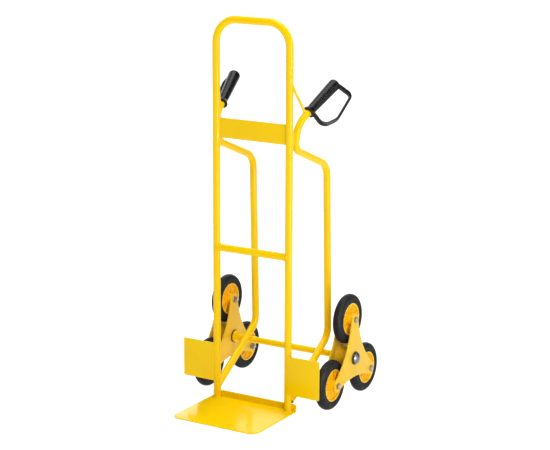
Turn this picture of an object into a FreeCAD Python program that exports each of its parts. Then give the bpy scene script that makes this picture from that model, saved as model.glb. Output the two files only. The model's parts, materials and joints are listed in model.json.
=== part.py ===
import FreeCAD, Part
import math
import os

# Stair climbing trolley: a tubular hand truck whose two wheel clusters each carry three
# wheels on a turning three-armed star. Millimetres.
# +X to the right, +Y to the back (wheels and handles), +Z up.
# Origin on the floor, at the centre of the trolley's footprint. Toe plate and wheels touch z = 0.

V = FreeCAD.Vector
RIGHT = V(1, 0, 0)
BACK = V(0, 1, 0)
UP = V(0, 0, 1)
SIDES = {"left": -1, "right": 1}

# Bent steel tube
TUBE_R = 11.0
TUBE_WALL = 1.5

# Main frame: an inverted U
UPRIGHT_X = 123.0           # centre line of each upright
FRAME_TOP_Z = 1144.5        # centre line of the top bar
TOP_BEND_R = 68.0
CROSSBAR_Z = 470.0

# Toe plate, folded from one sheet
TOE_HALF_W = 144.5
TOE_REACH = 218.0           # front edge to the plane of the uprights
TOE_T = 4.0
TOE_FLANGE_Z = 23.5
TOE_FOLD_R = 7.0
TOE_CORNER_R = 26.0
FLANGE_CORNER_R = 6.0

# Sheet panels welded to the uprights
PANEL_Z = (799.0, 858.0)
PANEL_T = 3.0
GUARD_X = (126.0, 235.0)
GUARD_Z = (58.5, 176.5)
GUARD_T = 2.5
GUARD_FORWARD = 12.5        # front face of a guard, ahead of the uprights' centre plane
GUARD_CORNER_R = 4.0

# Wheels and star clusters
WHEEL_R = 75.0
ARM_R = 118.5               # star centre to wheel centre
AXLE_BACK = 195.0           # axle behind the uprights
AXLE_R = 10.0
AXLE_END_X = 250.5
PLATE_T = 4.0
PLATE_INNER_X = 186.0       # inboard face of the inner star plate
PLATE_OUTER_X = 239.5       # outboard face of the outer star plate
PLATE_TIP_R = 19.0
PLATE_WAIST_R = 58.0        # narrowest reach of a star plate, midway between arms
BARREL_R = 32.0
BARREL_WALL = 2.5
RUN_CLEARANCE = 0.05        # radial, on every turning fit
END_PLAY = 0.5              # axial, beside every turning part

HUB_BUSH_R = 15.0
HUB_BUSH_FLANGE_R = 20.0
HUB_BUSH_FLANGE_T = 3.0
HUB_BUSH_L = 16.0
COLLAR_R = 18.5
COLLAR_L = 10.0
CAP_R = 17.0
CAP_SHOULDER = 4.5          # straight part of the cap's side
CAP_DOME = 7.0              # rise of its face

BOLT_R = 5.0
BOLT_HOLE_R = 5.2
HEX_FLATS = 16.0
HEAD_H = 6.4
NUT_H = 9.0
WASHER_R = 10.0
WASHER_T = 2.0
THREAD_END = 3.0            # bolt showing past its nut
SLEEVE_R = 7.0

RIM_R = 49.0
RIM_HALF_W = 13.0
RIM_LIP = 4.0
RIM_KEY_R = 53.0            # rib round the rim that keys the tyre
RIM_KEY_HALF_W = 6.0
RIM_WEB_HALF_T = 5.0
RIM_HUB_R = 17.0
RIM_DRAFT = 2.0             # taper of the hub and of the dish's wall, for moulding
RIM_HUB_HALF_L = 20.5
RIM_RIBS = 10
RIM_RIB_HALF_T = 1.5
RIM_RIB_RISE = 4.0
TYRE_HALF_W = 14.0
TYRE_CROWN_R = 13.0         # rounding of the tread's shoulders
WHEEL_BUSH_R = 9.0
WHEEL_BUSH_FLANGE_R = 12.0
WHEEL_BUSH_FLANGE_T = 1.5
WHEEL_BUSH_L = 14.0

# Handle tubes: from the toe plate up behind the wheels, back to the uprights, out to the grips
REAR_OUT = 5.0              # rear run of a handle tube, outboard of its upright
TOUCH_LOW_OUT = 7.0         # where the tube meets its upright
TOUCH_HIGH_OUT = 15.0       # where it leaves for the grip
DIAGONAL_SLOPE = 33.6       # degrees, lower run over the axle
DIAGONAL_END_BACK = 7.0     # lower end of the run, behind the uprights' centre plane
REAR_LOW_BACK = 228.0
REAR_HIGH = (210.0, 708.0)  # back of the uprights, height
TOUCH_LOW_Z = 784.0
TOUCH_HIGH_Z = 859.0
LOW_BEND_R = 50.0
HIGH_BEND_R = 55.0
TOUCH_BEND_R = 36.0
GRIP_BEND_R = 68.0
GRIP_RISE = 31.6            # degrees above level
GRIP_SPLAY = 12.2           # degrees outward
GRIP_START = 56.0           # along the grip's line from the last bend point to the collar's middle
BRACE_R = 4.0
BRACE_HIGH_Z = 985.0
BRACE_BEFORE_GRIP = 15.0

# Grips: a sleeve over the tube's end with a hand guard moulded on
GRIP_L = 140.0
GRIP_LOW = -5.0             # lower end of the grip, measured from the collar's middle
GRIP_FLARE_R = 18.5
GRIP_FLARE_L = 4.0          # straight part of the flared collar
GRIP_NECK_UP = 14.0         # from the lower end up to the neck
GRIP_NECK_R = 14.0
GRIP_HEAD_R = 18.3
GRIP_DOME_R = 12.0
TUBE_IN_GRIP = 116.0
GUARD_BAND_T = 8.5
GUARD_BAND_W = 19.0
GUARD_AWAY = (0.787, 0.198, -0.584)   # roughly the way the hand guard stands off the grip
# corners of the guard's loop: off the grip, leaning back, up the grip
GUARD_LOOP = [(0.0, 0.0, 130.5), (57.7, 2.6, 134.9), (73.4, 10.0, 45.0), (55.6, 17.4, 2.0), (0.0, 0.0, 7.5)]
GUARD_LOOP_BENDS = [15.0, 32.0, 26.0]

# Where things follow from the sizes above
axle_z = WHEEL_R + ARM_R / 2
wheel_reach = AXLE_BACK + ARM_R * math.cos(math.radians(30)) + WHEEL_R
upright_y = -(wheel_reach - TOE_REACH) / 2
axle_y = upright_y + AXLE_BACK
gap_in = PLATE_INNER_X + PLATE_T
gap_out = PLATE_OUTER_X - PLATE_T
wheel_x = (gap_in + gap_out) / 2
wheel_places = {
    "top": (axle_y, axle_z + ARM_R),
    "front": (axle_y - ARM_R * math.cos(math.radians(30)), axle_z - ARM_R / 2),
    "rear": (axle_y + ARM_R * math.cos(math.radians(30)), axle_z - ARM_R / 2),
}

nodes = {}


def box(low, high):
    size = high - low
    return Part.makeBox(size.x, size.y, size.z, low)


def rod(radius, start, end):
    return Part.makeCylinder(radius, (end - start).Length, start, end - start)


def disc(radius, x_low, x_high, y, z):
    """A round part whose axis lies along X."""
    return rod(radius, V(x_low, y, z), V(x_high, y, z))


def ring(outer_r, inner_r, x_low, x_high, y, z):
    return disc(outer_r, x_low, x_high, y, z).cut(disc(inner_r, x_low, x_high, y, z))


def lathe(profile, y, z):
    """Turn a closed (x, radius) outline about the X line through y, z."""
    points = [V(x, y, z + radius) for x, radius in profile]
    face = Part.Face(Part.makePolygon(points + points[:1]))
    return face.revolve(V(0, y, z), RIGHT, 360)


def hexagon(flats, x_low, x_high, y, z):
    corner_r = flats / math.sqrt(3)
    angles = [math.radians(60 * i) for i in range(7)]
    points = [V(x_low, y + corner_r * math.cos(a), z + corner_r * math.sin(a)) for a in angles]
    return Part.Face(Part.makePolygon(points)).extrude(V(x_high - x_low, 0, 0))


def union(shapes):
    return shapes[0].multiFuse(shapes[1:]).removeSplitter()


def mirrored(shape):
    return shape.mirror(V(0, 0, 0), RIGHT)


def bent_path(points, bend_radii):
    """Straight runs joined by tangent arcs."""
    edges = []
    start = points[0]
    for before, corner, after, radius in zip(points, points[1:], points[2:], bend_radii):
        towards = (before - corner).normalize()
        away = (after - corner).normalize()
        half_turn = (math.pi - towards.getAngle(away)) / 2
        reach = radius * math.tan(half_turn)
        bisector = (towards + away).normalize()
        centre = corner + bisector * (radius / math.cos(half_turn))
        arc_start = corner + towards * reach
        arc_end = corner + away * reach
        edges.append(Part.LineSegment(start, arc_start).toShape())
        edges.append(Part.Arc(arc_start, centre - bisector * radius, arc_end).toShape())
        start = arc_end
    edges.append(Part.LineSegment(start, points[-1]).toShape())
    return Part.Wire(edges)


def swept_round(path, radius, start, direction):
    section = Part.Face(Part.Wire(Part.makeCircle(radius, start, direction)))
    return path.makePipe(section)


def tube(points, bend_radii, radius=TUBE_R, wall=TUBE_WALL):
    """The hollow tube and its filled envelope, which copes whatever is welded to it."""
    path = bent_path(points, bend_radii)
    direction = points[1] - points[0]
    filled = swept_round(path, radius, points[0], direction)
    bore = swept_round(path, radius - wall, points[0], direction)
    return filled.cut(bore), filled


def fillet_edges(shape, radius, wanted):
    """Round the edges whose midpoint and direction the test accepts."""
    chosen = []
    for edge in shape.Edges:
        if edge.Curve.TypeId != "Part::GeomLine":
            continue
        ends = [vertex.Point for vertex in edge.Vertexes]
        if wanted((ends[0] + ends[1]) / 2, (ends[1] - ends[0]).normalize()):
            chosen.append(edge)
    return shape.makeFillet(radius, chosen)


# ---- frame -------------------------------------------------------------------------------------

def main_frame():
    foot_left = V(-UPRIGHT_X, upright_y, TOE_T)
    foot_right = V(UPRIGHT_X, upright_y, TOE_T)
    head_left = V(-UPRIGHT_X, upright_y, FRAME_TOP_Z)
    head_right = V(UPRIGHT_X, upright_y, FRAME_TOP_Z)
    return tube([foot_left, head_left, head_right, foot_right], [TOP_BEND_R, TOP_BEND_R])


def mid_crossbar(frame_envelope):
    ends = [V(side * UPRIGHT_X, upright_y, CROSSBAR_Z) for side in (-1, 1)]
    return tube(ends, [])[0].cut(frame_envelope)


def top_panel(frame_envelope):
    low = V(-UPRIGHT_X, upright_y - PANEL_T / 2, PANEL_Z[0])
    high = V(UPRIGHT_X, upright_y + PANEL_T / 2, PANEL_Z[1])
    return box(low, high).cut(frame_envelope)


def side_guard(frame_envelope):
    """Right-hand guard: a flat sheet that keeps the load off the wheels."""
    front = upright_y - GUARD_FORWARD
    sheet = box(V(GUARD_X[0], front, GUARD_Z[0]), V(GUARD_X[1], front + GUARD_T, GUARD_Z[1]))
    sheet = fillet_edges(sheet, GUARD_CORNER_R,
                         lambda middle, along: middle.x > GUARD_X[1] - 1 and abs(along.y) > 0.9)
    pieces = sheet.cut(frame_envelope).Solids
    return max(pieces, key=lambda solid: solid.Volume)


def toe_plate():
    """Load plate and upturned rear flange, folded from one sheet behind the uprights."""
    front = upright_y - TOE_REACH
    inner = upright_y + TUBE_R
    back = inner + TOE_T
    fold_centre = V(-TOE_HALF_W, back - TOE_FOLD_R, TOE_FOLD_R)
    inner_fold = TOE_FOLD_R - TOE_T
    slant = math.sqrt(0.5)

    def at(y, z):
        return V(-TOE_HALF_W, y, z)

    def on_fold(radius):
        return fold_centre + V(0, slant * radius, -slant * radius)

    edges = [
        Part.LineSegment(at(front, 0), at(fold_centre.y, 0)).toShape(),
        Part.Arc(at(fold_centre.y, 0), on_fold(TOE_FOLD_R), at(back, TOE_FOLD_R)).toShape(),
        Part.LineSegment(at(back, TOE_FOLD_R), at(back, TOE_FLANGE_Z)).toShape(),
        Part.LineSegment(at(back, TOE_FLANGE_Z), at(inner, TOE_FLANGE_Z)).toShape(),
        Part.LineSegment(at(inner, TOE_FLANGE_Z), at(inner, TOE_FOLD_R)).toShape(),
        Part.Arc(at(inner, TOE_FOLD_R), on_fold(inner_fold), at(fold_centre.y, TOE_T)).toShape(),
        Part.LineSegment(at(fold_centre.y, TOE_T), at(front, TOE_T)).toShape(),
        Part.LineSegment(at(front, TOE_T), at(front, 0)).toShape(),
    ]
    plate = Part.Face(Part.Wire(edges)).extrude(V(2 * TOE_HALF_W, 0, 0))
    plate = fillet_edges(plate, TOE_CORNER_R,
                         lambda middle, along: middle.y < front + 1 and abs(along.z) > 0.9)
    return fillet_edges(plate, FLANGE_CORNER_R,
                        lambda middle, along: middle.z > TOE_FLANGE_Z - 1 and abs(along.y) > 0.9)


# ---- handles -----------------------------------------------------------------------------------

def grip_axes():
    """Along the right-hand grip, towards the hand guard, and square to the guard's loop."""
    rise = math.radians(GRIP_RISE)
    splay = math.radians(GRIP_SPLAY)
    along = V(math.cos(rise) * math.sin(splay), math.cos(rise) * math.cos(splay), math.sin(rise))
    away = V(*GUARD_AWAY)
    outward = (away - along * away.dot(along)).normalize()
    return along, outward, along.cross(outward)


def handle_points():
    """Corner points of the right-hand handle tube's centre line, from the bottom up."""
    x = UPRIGHT_X + REAR_OUT
    touch_y = upright_y + math.sqrt((2 * TUBE_R) ** 2 - TOUCH_LOW_OUT ** 2)
    slope = math.radians(DIAGONAL_SLOPE)
    over_axle_y = axle_y - (AXLE_R + TUBE_R) * math.sin(slope)
    over_axle_z = axle_z + (AXLE_R + TUBE_R) * math.cos(slope)

    def on_diagonal(back):
        y = upright_y + back
        return V(x, y, over_axle_z + (y - over_axle_y) * math.tan(slope))

    last_bend = V(UPRIGHT_X + TOUCH_HIGH_OUT, touch_y, TOUCH_HIGH_Z)
    grip_along = grip_axes()[0]
    return [
        on_diagonal(DIAGONAL_END_BACK),
        on_diagonal(REAR_LOW_BACK),
        V(x, upright_y + REAR_HIGH[0], REAR_HIGH[1]),
        V(UPRIGHT_X + TOUCH_LOW_OUT, touch_y, TOUCH_LOW_Z),
        last_bend,
        last_bend + grip_along * (GRIP_START + TUBE_IN_GRIP),
    ]


def handle_tube(frame_envelope):
    bends = [LOW_BEND_R, HIGH_BEND_R, TOUCH_BEND_R, GRIP_BEND_R]
    hollow, filled = tube(handle_points(), bends)
    pieces = hollow.cut(frame_envelope).Solids
    return max(pieces, key=lambda solid: solid.Volume), filled


def handle_brace(frame_envelope, handle_envelope):
    """Round bar from the upright down to the handle tube, just below the grip."""
    start = V(UPRIGHT_X, upright_y, BRACE_HIGH_Z)
    end = handle_points()[4] + grip_axes()[0] * (GRIP_START - BRACE_BEFORE_GRIP)
    pieces = rod(BRACE_R, start, end).cut(frame_envelope).cut(handle_envelope).Solids
    return max(pieces, key=lambda solid: solid.Volume)


def grip(handle_envelope):
    """Right-hand grip, modelled upright at the origin and then laid along the handle tube."""
    top = GRIP_LOW + GRIP_L
    outline = [
        V(0, 0, GRIP_LOW),
        V(GRIP_FLARE_R, 0, GRIP_LOW),
        V(GRIP_FLARE_R, 0, GRIP_LOW + GRIP_FLARE_L),
        V(GRIP_NECK_R, 0, GRIP_LOW + GRIP_NECK_UP),
        V(GRIP_HEAD_R, 0, top - GRIP_DOME_R),
    ]
    dome_edge = math.radians(45)
    dome_middle = V(GRIP_HEAD_R - GRIP_DOME_R * (1 - math.cos(dome_edge)), 0,
                    top - GRIP_DOME_R * (1 - math.sin(dome_edge)))
    dome_end = V(GRIP_HEAD_R - GRIP_DOME_R, 0, top)
    crown = V(0, 0, top)
    edges = [Part.LineSegment(a, b).toShape() for a, b in zip(outline, outline[1:])]
    edges.append(Part.Arc(outline[-1], dome_middle, dome_end).toShape())
    edges.append(Part.LineSegment(dome_end, crown).toShape())
    edges.append(Part.LineSegment(crown, outline[0]).toShape())
    body = Part.Face(Part.Wire(edges)).revolve(V(0, 0, 0), UP, 360)

    loop_points = [V(*corner) for corner in GUARD_LOOP]
    path = bent_path(loop_points, GUARD_LOOP_BENDS)
    first_run = (loop_points[1] - loop_points[0]).normalize()
    across = first_run.cross(BACK)
    half_t = GUARD_BAND_T / 2
    half_flat = GUARD_BAND_W / 2 - half_t
    start = loop_points[0]
    corners = [start + across * (half_t * i) + BACK * (half_flat * j)
               for i, j in ((-1, -1), (-1, 1), (1, 1), (1, -1))]
    noses = [start + BACK * (half_flat + half_t), start - BACK * (half_flat + half_t)]
    section = Part.Wire([
        Part.LineSegment(corners[0], corners[1]).toShape(),
        Part.Arc(corners[1], noses[0], corners[2]).toShape(),
        Part.LineSegment(corners[2], corners[3]).toShape(),
        Part.Arc(corners[3], noses[1], corners[0]).toShape(),
    ])
    guard = path.makePipe(Part.Face(section))
    moulding = union([body, guard])

    along, outward, square = grip_axes()
    seat = handle_points()[4] + along * GRIP_START
    moulding.Placement = FreeCAD.Placement(seat, FreeCAD.Rotation(outward, square, along, "ZXY"))
    return max(moulding.cut(handle_envelope).Solids, key=lambda solid: solid.Volume)


# ---- axle and star clusters --------------------------------------------------------------------

def hub_cap():
    """Domed push-on cap on the right-hand end of the axle."""
    low = PLATE_OUTER_X + HUB_BUSH_FLANGE_T + END_PLAY
    crown = low + CAP_SHOULDER + CAP_DOME
    dome_r = (CAP_R ** 2 + CAP_DOME ** 2) / (2 * CAP_DOME)
    dome = Part.makeSphere(dome_r, V(crown - dome_r, axle_y, axle_z))
    cap = disc(CAP_R, low, crown, axle_y, axle_z).common(dome)
    return cap.cut(disc(AXLE_R, low, AXLE_END_X, axle_y, axle_z))


def star_outline(x):
    """Three round tips joined by three long concave arcs."""
    def polar(radius, degrees):
        angle = math.radians(degrees)
        return V(x, axle_y + radius * math.cos(angle), axle_z + radius * math.sin(angle))

    # Radius of the arc that touches both tips and passes the waist between them
    spread = PLATE_WAIST_R ** 2 + ARM_R ** 2 - PLATE_WAIST_R * ARM_R - PLATE_TIP_R ** 2
    hollow_r = spread / (2 * PLATE_TIP_R - 2 * PLATE_WAIST_R + ARM_R)
    edges = []
    for arm in (90, 210, 330):
        tip = polar(ARM_R, arm)
        touches = []
        for turn in (-60, 60):
            hollow = polar(PLATE_WAIST_R + hollow_r, arm + turn)
            touches.append(tip + (hollow - tip).normalize() * PLATE_TIP_R)
        edges.append(Part.Arc(touches[0], polar(ARM_R + PLATE_TIP_R, arm), touches[1]).toShape())
        next_tip = polar(ARM_R, arm + 120)
        hollow = polar(PLATE_WAIST_R + hollow_r, arm + 60)
        landing = next_tip + (hollow - next_tip).normalize() * PLATE_TIP_R
        edges.append(Part.Arc(touches[1], polar(PLATE_WAIST_R, arm + 60), landing).toShape())
    return Part.Wire(edges)


def star_plate(x_low):
    plate = Part.Face(star_outline(x_low)).extrude(V(PLATE_T, 0, 0))
    plate = plate.cut(disc(HUB_BUSH_R, x_low, x_low + PLATE_T, axle_y, axle_z))
    for y, z in wheel_places.values():
        plate = plate.cut(disc(BOLT_HOLE_R, x_low, x_low + PLATE_T, y, z))
    return plate


def hub_bush(face_x, outward):
    """Flanged bush let into a star plate's face, its flange outside."""
    flange = sorted((face_x, face_x + outward * HUB_BUSH_FLANGE_T))
    body = sorted((face_x, face_x - outward * HUB_BUSH_L))
    whole = union([disc(HUB_BUSH_FLANGE_R, flange[0], flange[1], axle_y, axle_z),
                   disc(HUB_BUSH_R, body[0], body[1], axle_y, axle_z)])
    low = min(flange + body)
    high = max(flange + body)
    return whole.cut(disc(AXLE_R + RUN_CLEARANCE, low, high, axle_y, axle_z))


def at_each_wheel(make):
    return Part.makeCompound([make(y, z) for y, z in wheel_places.values()])


def wheel_bolt(y, z):
    end = PLATE_INNER_X - WASHER_T - NUT_H - THREAD_END
    return union([hexagon(HEX_FLATS, PLATE_OUTER_X, PLATE_OUTER_X + HEAD_H, y, z),
                  disc(BOLT_R, end, PLATE_OUTER_X, y, z)])


def wheel_nut(y, z):
    high = PLATE_INNER_X - WASHER_T
    return hexagon(HEX_FLATS, high - NUT_H, high, y, z).cut(disc(BOLT_R, high - NUT_H, high, y, z))


def nut_washer(y, z):
    return ring(WASHER_R, BOLT_HOLE_R, PLATE_INNER_X - WASHER_T, PLATE_INNER_X, y, z)


def wheel_sleeve(y, z):
    return ring(SLEEVE_R, BOLT_HOLE_R, gap_in, gap_out, y, z)


# ---- wheels ------------------------------------------------------------------------------------

def rim(y, z):
    """Moulded rim: hub, recessed web with low ribs on both faces, and a keyed outer ring."""
    web_r = RIM_R - RIM_LIP
    profile = [
        (wheel_x - RIM_HUB_HALF_L, WHEEL_BUSH_R), (wheel_x - RIM_HUB_HALF_L, RIM_HUB_R - RIM_DRAFT),
        (wheel_x - RIM_WEB_HALF_T, RIM_HUB_R), (wheel_x - RIM_WEB_HALF_T, web_r - RIM_DRAFT),
        (wheel_x - RIM_HALF_W, web_r), (wheel_x - RIM_HALF_W, RIM_R),
        (wheel_x - RIM_KEY_HALF_W, RIM_R), (wheel_x - RIM_KEY_HALF_W, RIM_KEY_R),
    ]
    far_side = [(2 * wheel_x - x, radius) for x, radius in reversed(profile)]
    body = lathe(profile + far_side, y, z)
    reach = RIM_WEB_HALF_T + RIM_RIB_RISE
    ribs = []
    for i in range(RIM_RIBS):
        rib = box(V(wheel_x - reach, y + RIM_HUB_R - RIM_DRAFT, z - RIM_RIB_HALF_T),
                  V(wheel_x + reach, y + web_r, z + RIM_RIB_HALF_T))
        rib.rotate(V(wheel_x, y, z), RIGHT, 360 * i / RIM_RIBS + 180 / RIM_RIBS)
        ribs.append(rib)
    return union([body] + ribs)


def tyre(y, z):
    """Solid rubber tyre with rounded shoulders, keyed to the rim."""
    low = wheel_x - TYRE_HALF_W
    high = wheel_x + TYRE_HALF_W
    shoulder_z = z + WHEEL_R - TYRE_CROWN_R
    slant = math.sqrt(0.5) * TYRE_CROWN_R

    def at(x, radius):
        return V(x, y, z + radius)

    tread_low = low + TYRE_CROWN_R
    tread_high = high - TYRE_CROWN_R
    key_low = wheel_x - RIM_KEY_HALF_W
    key_high = wheel_x + RIM_KEY_HALF_W
    chain = [at(tread_high, WHEEL_R), at(tread_low, WHEEL_R)]
    inside = [at(low, WHEEL_R - TYRE_CROWN_R), at(low, RIM_R), at(key_low, RIM_R),
              at(key_low, RIM_KEY_R), at(key_high, RIM_KEY_R), at(key_high, RIM_R),
              at(high, RIM_R), at(high, WHEEL_R - TYRE_CROWN_R)]
    edges = [
        Part.LineSegment(chain[0], chain[1]).toShape(),
        Part.Arc(chain[1], V(tread_low - slant, y, shoulder_z + slant), inside[0]).toShape(),
    ]
    edges += [Part.LineSegment(a, b).toShape() for a, b in zip(inside, inside[1:])]
    edges.append(Part.Arc(inside[-1], V(tread_high + slant, y, shoulder_z + slant), chain[0]).toShape())
    return Part.Face(Part.Wire(edges)).revolve(V(0, y, z), RIGHT, 360)


def wheel_bushes(y, z):
    """The two flanged bushes pressed into a rim's hub."""
    pair = []
    for side in (-1, 1):
        face = wheel_x + side * RIM_HUB_HALF_L
        flange = sorted((face, face + side * WHEEL_BUSH_FLANGE_T))
        body = sorted((face, face - side * WHEEL_BUSH_L))
        whole = union([disc(WHEEL_BUSH_FLANGE_R, flange[0], flange[1], y, z),
                       disc(WHEEL_BUSH_R, body[0], body[1], y, z)])
        bore = disc(SLEEVE_R + RUN_CLEARANCE, min(flange + body), max(flange + body), y, z)
        pair.append(whole.cut(bore))
    return Part.makeCompound(pair)


# ---- assembly ----------------------------------------------------------------------------------

def add_pair(name, right_shape):
    """A right-hand part and its mirror image."""
    nodes[name + "_right"] = right_shape
    nodes[name + "_left"] = mirrored(right_shape)


frame_hollow, frame_envelope = main_frame()
toe = toe_plate()
nodes["main_frame_tube"] = frame_hollow.cut(toe)
nodes["mid_crossbar"] = mid_crossbar(frame_envelope)
nodes["top_panel"] = top_panel(frame_envelope)
nodes["toe_plate"] = toe
nodes["axle"] = disc(AXLE_R, -AXLE_END_X, AXLE_END_X, axle_y, axle_z)

handle, handle_envelope = handle_tube(frame_envelope)
add_pair("side_guard", side_guard(frame_envelope))
add_pair("handle_tube", handle)
add_pair("handle_brace", handle_brace(frame_envelope, handle_envelope))
add_pair("grip", grip(handle_envelope))

collar_out = PLATE_INNER_X - HUB_BUSH_FLANGE_T - END_PLAY
add_pair("axle_collar", ring(COLLAR_R, AXLE_R, collar_out - COLLAR_L, collar_out, axle_y, axle_z))
add_pair("hub_cap", hub_cap())

add_pair("star_plate_inner", star_plate(PLATE_INNER_X))
add_pair("star_plate_outer", star_plate(gap_out))
add_pair("star_barrel", ring(BARREL_R, BARREL_R - BARREL_WALL, gap_in, gap_out, axle_y, axle_z))
add_pair("hub_bush_inner", hub_bush(PLATE_INNER_X, -1))
add_pair("hub_bush_outer", hub_bush(PLATE_OUTER_X, 1))
add_pair("wheel_bolts", at_each_wheel(wheel_bolt))
add_pair("wheel_nuts", at_each_wheel(wheel_nut))
add_pair("nut_washers", at_each_wheel(nut_washer))
add_pair("wheel_sleeves", at_each_wheel(wheel_sleeve))

for place, (y, z) in wheel_places.items():
    for side, sign in SIDES.items():
        for name, make in (("tyre", tyre), ("rim", rim), ("wheel_bushes", wheel_bushes)):
            shape = make(y, z)
            nodes[f"{name}_{side}_{place}"] = shape if sign > 0 else mirrored(shape)

os.makedirs("parts", exist_ok=True)
for name, shape in nodes.items():
    shape.exportStep(f"parts/{name}.step")
    print(f"{name:24s} solids {len(shape.Solids)}  {shape.Volume / 1000:9.2f} cm3  valid {shape.isValid()}")
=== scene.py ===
import json
import math

import bmesh
import bpy
from mathutils import Matrix, Vector
from mathutils.bvhtree import BVHTree
from mathutils.geometry import tessellate_polygon


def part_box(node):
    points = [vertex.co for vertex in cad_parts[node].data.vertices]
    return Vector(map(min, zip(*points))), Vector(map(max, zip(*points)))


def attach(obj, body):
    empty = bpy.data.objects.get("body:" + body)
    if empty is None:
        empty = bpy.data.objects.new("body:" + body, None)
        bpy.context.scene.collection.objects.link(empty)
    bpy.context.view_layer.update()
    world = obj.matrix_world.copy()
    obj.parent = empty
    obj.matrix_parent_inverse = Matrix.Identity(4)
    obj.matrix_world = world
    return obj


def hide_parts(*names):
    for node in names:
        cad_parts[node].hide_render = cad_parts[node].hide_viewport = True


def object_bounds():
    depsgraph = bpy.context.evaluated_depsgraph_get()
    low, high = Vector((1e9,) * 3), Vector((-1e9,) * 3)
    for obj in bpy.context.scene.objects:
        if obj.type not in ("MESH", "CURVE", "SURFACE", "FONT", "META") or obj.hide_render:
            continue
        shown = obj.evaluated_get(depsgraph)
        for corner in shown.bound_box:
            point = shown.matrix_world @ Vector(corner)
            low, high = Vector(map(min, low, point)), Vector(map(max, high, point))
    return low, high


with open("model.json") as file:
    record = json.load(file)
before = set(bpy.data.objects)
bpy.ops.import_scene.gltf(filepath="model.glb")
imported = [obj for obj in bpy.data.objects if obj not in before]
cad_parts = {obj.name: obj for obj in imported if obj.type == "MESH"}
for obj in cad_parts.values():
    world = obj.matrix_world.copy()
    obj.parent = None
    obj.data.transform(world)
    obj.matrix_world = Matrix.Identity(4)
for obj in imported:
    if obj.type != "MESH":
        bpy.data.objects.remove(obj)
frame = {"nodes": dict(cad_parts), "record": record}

# Metres. +X to the trolley's right, +Y to its back, +Z up, as in the CAD frame.

CAD_LOW, CAD_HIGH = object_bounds()
MM = 0.001
X = Vector((1, 0, 0))
Y = Vector((0, 1, 0))
Z = Vector((0, 0, 1))
SIDES = {"left": -1, "right": 1}
PLACES = ("top", "front", "rear")


# ---- sizes read from the CAD nodes ---------------------------------------------------------------

def centre(node):
    low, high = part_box(node)
    return (low + high) / 2


def size(node):
    low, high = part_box(node)
    return high - low


TUBE_R = size("mid_crossbar").z / 2
UPRIGHT_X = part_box("main_frame_tube")[1].x - TUBE_R
UPRIGHT_Y = centre("main_frame_tube").y
AXLE_Y = centre("axle").y
AXLE_Z = centre("axle").z
AXLE_R = size("axle").z / 2
WHEEL_R = size("tyre_right_top").z / 2
TYRE_HALF_W = size("tyre_right_top").x / 2
WHEEL_AT = {place: centre(f"tyre_right_{place}") for place in PLACES}
ARM_R = WHEEL_AT["top"].z - AXLE_Z


# ---- mesh tools ------------------------------------------------------------------------------------

ARC_STEP = math.radians(12)
MITRE_LIMIT = 0.3        # keeps a sharp corner of an inset outline from running away


def rounded(points, radii):
    """The points of a line or an outline, each corner turned into an arc of its radius."""
    path = []
    for i, (point, radius) in enumerate(zip(points, radii)):
        corner = Vector(point)
        if radius == 0:
            path.append(corner)
            continue
        before = (Vector(points[i - 1]) - corner).normalized()
        after = (Vector(points[(i + 1) % len(points)]) - corner).normalized()
        half = before.angle(after) / 2
        middle = corner + (before + after).normalized() * (radius / math.sin(half))
        start = corner + before * (radius / math.tan(half)) - middle
        end = corner + after * (radius / math.tan(half)) - middle
        turn = start.angle(end)
        steps = max(2, math.ceil(turn / ARC_STEP))
        for k in range(steps + 1):
            angle = turn * k / steps
            spoke = (start * math.sin(turn - angle) + end * math.sin(angle)) / math.sin(turn)
            path.append(middle + spoke)
    return path


def arc(middle, radius, start_deg, end_deg, steps):
    """Points of a flat arc, both ends included."""
    turns = [math.radians(start_deg + (end_deg - start_deg) * k / steps) for k in range(steps + 1)]
    return [Vector((middle[0] + radius * math.cos(a), middle[1] + radius * math.sin(a))) for a in turns]


def circle(middle, radius, steps):
    return arc(middle, radius, 0, 360, steps)[:-1]


def polar(radius, degrees):
    """The flat point at a distance and an angle from the origin."""
    angle = math.radians(degrees)
    return Vector((radius * math.cos(angle), radius * math.sin(angle)))


def full_turn(steps):
    """Evenly spaced angles of one turn, in radians."""
    return [2 * math.pi * k / steps for k in range(steps)]


def hoop(along, radius, segments, at=(0, 0, 0)):
    """A ring of points about the X line through a point."""
    middle = Vector(at) + X * along
    turns = full_turn(segments)
    return [middle + Vector((0, radius * math.cos(a), radius * math.sin(a))) for a in turns]


def skin(bm, rings, closed=False, capped=True):
    """Joins rings of equally many points with quads. A closed skin also joins the last to the first."""
    rows = [[bm.verts.new(point) for point in ring] for ring in rings]
    pairs = list(zip(rows, rows[1:]))
    if closed:
        pairs.append((rows[-1], rows[0]))
    for row, following in pairs:
        for i, vert in enumerate(row):
            j = (i + 1) % len(row)
            bm.faces.new((vert, row[j], following[j], following[i]))
    if capped and not closed:
        bm.faces.new(rows[0][::-1])
        bm.faces.new(rows[-1])
    return rows


def turned(bm, profile, segments, at=(0, 0, 0), closed=False):
    """A lathe shape about the X line through a point. The profile holds (x, radius) pairs."""
    rings = [hoop(along, radius, segments, at) for along, radius in profile]
    return skin(bm, rings, closed=closed)


def finish_mesh(bm, name, sharp_deg=38):
    """A smooth-shaded mesh that keeps its edges above an angle sharp."""
    bmesh.ops.recalc_face_normals(bm, faces=bm.faces)
    mesh = bpy.data.meshes.new(name)
    bm.to_mesh(mesh)
    bm.free()
    mesh.shade_smooth()
    mesh.set_sharp_from_angle(angle=math.radians(sharp_deg))
    return mesh


def piece(name, mesh, body, material, replaces=()):
    """A visible object that rides on a CAD body and stands for the CAD nodes it replaces."""
    thing = bpy.data.objects.new(name, mesh)
    bpy.context.scene.collection.objects.link(thing)
    if not mesh.materials:
        mesh.materials.append(material)
    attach(thing, body)
    if replaces:
        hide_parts(*replaces)


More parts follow.
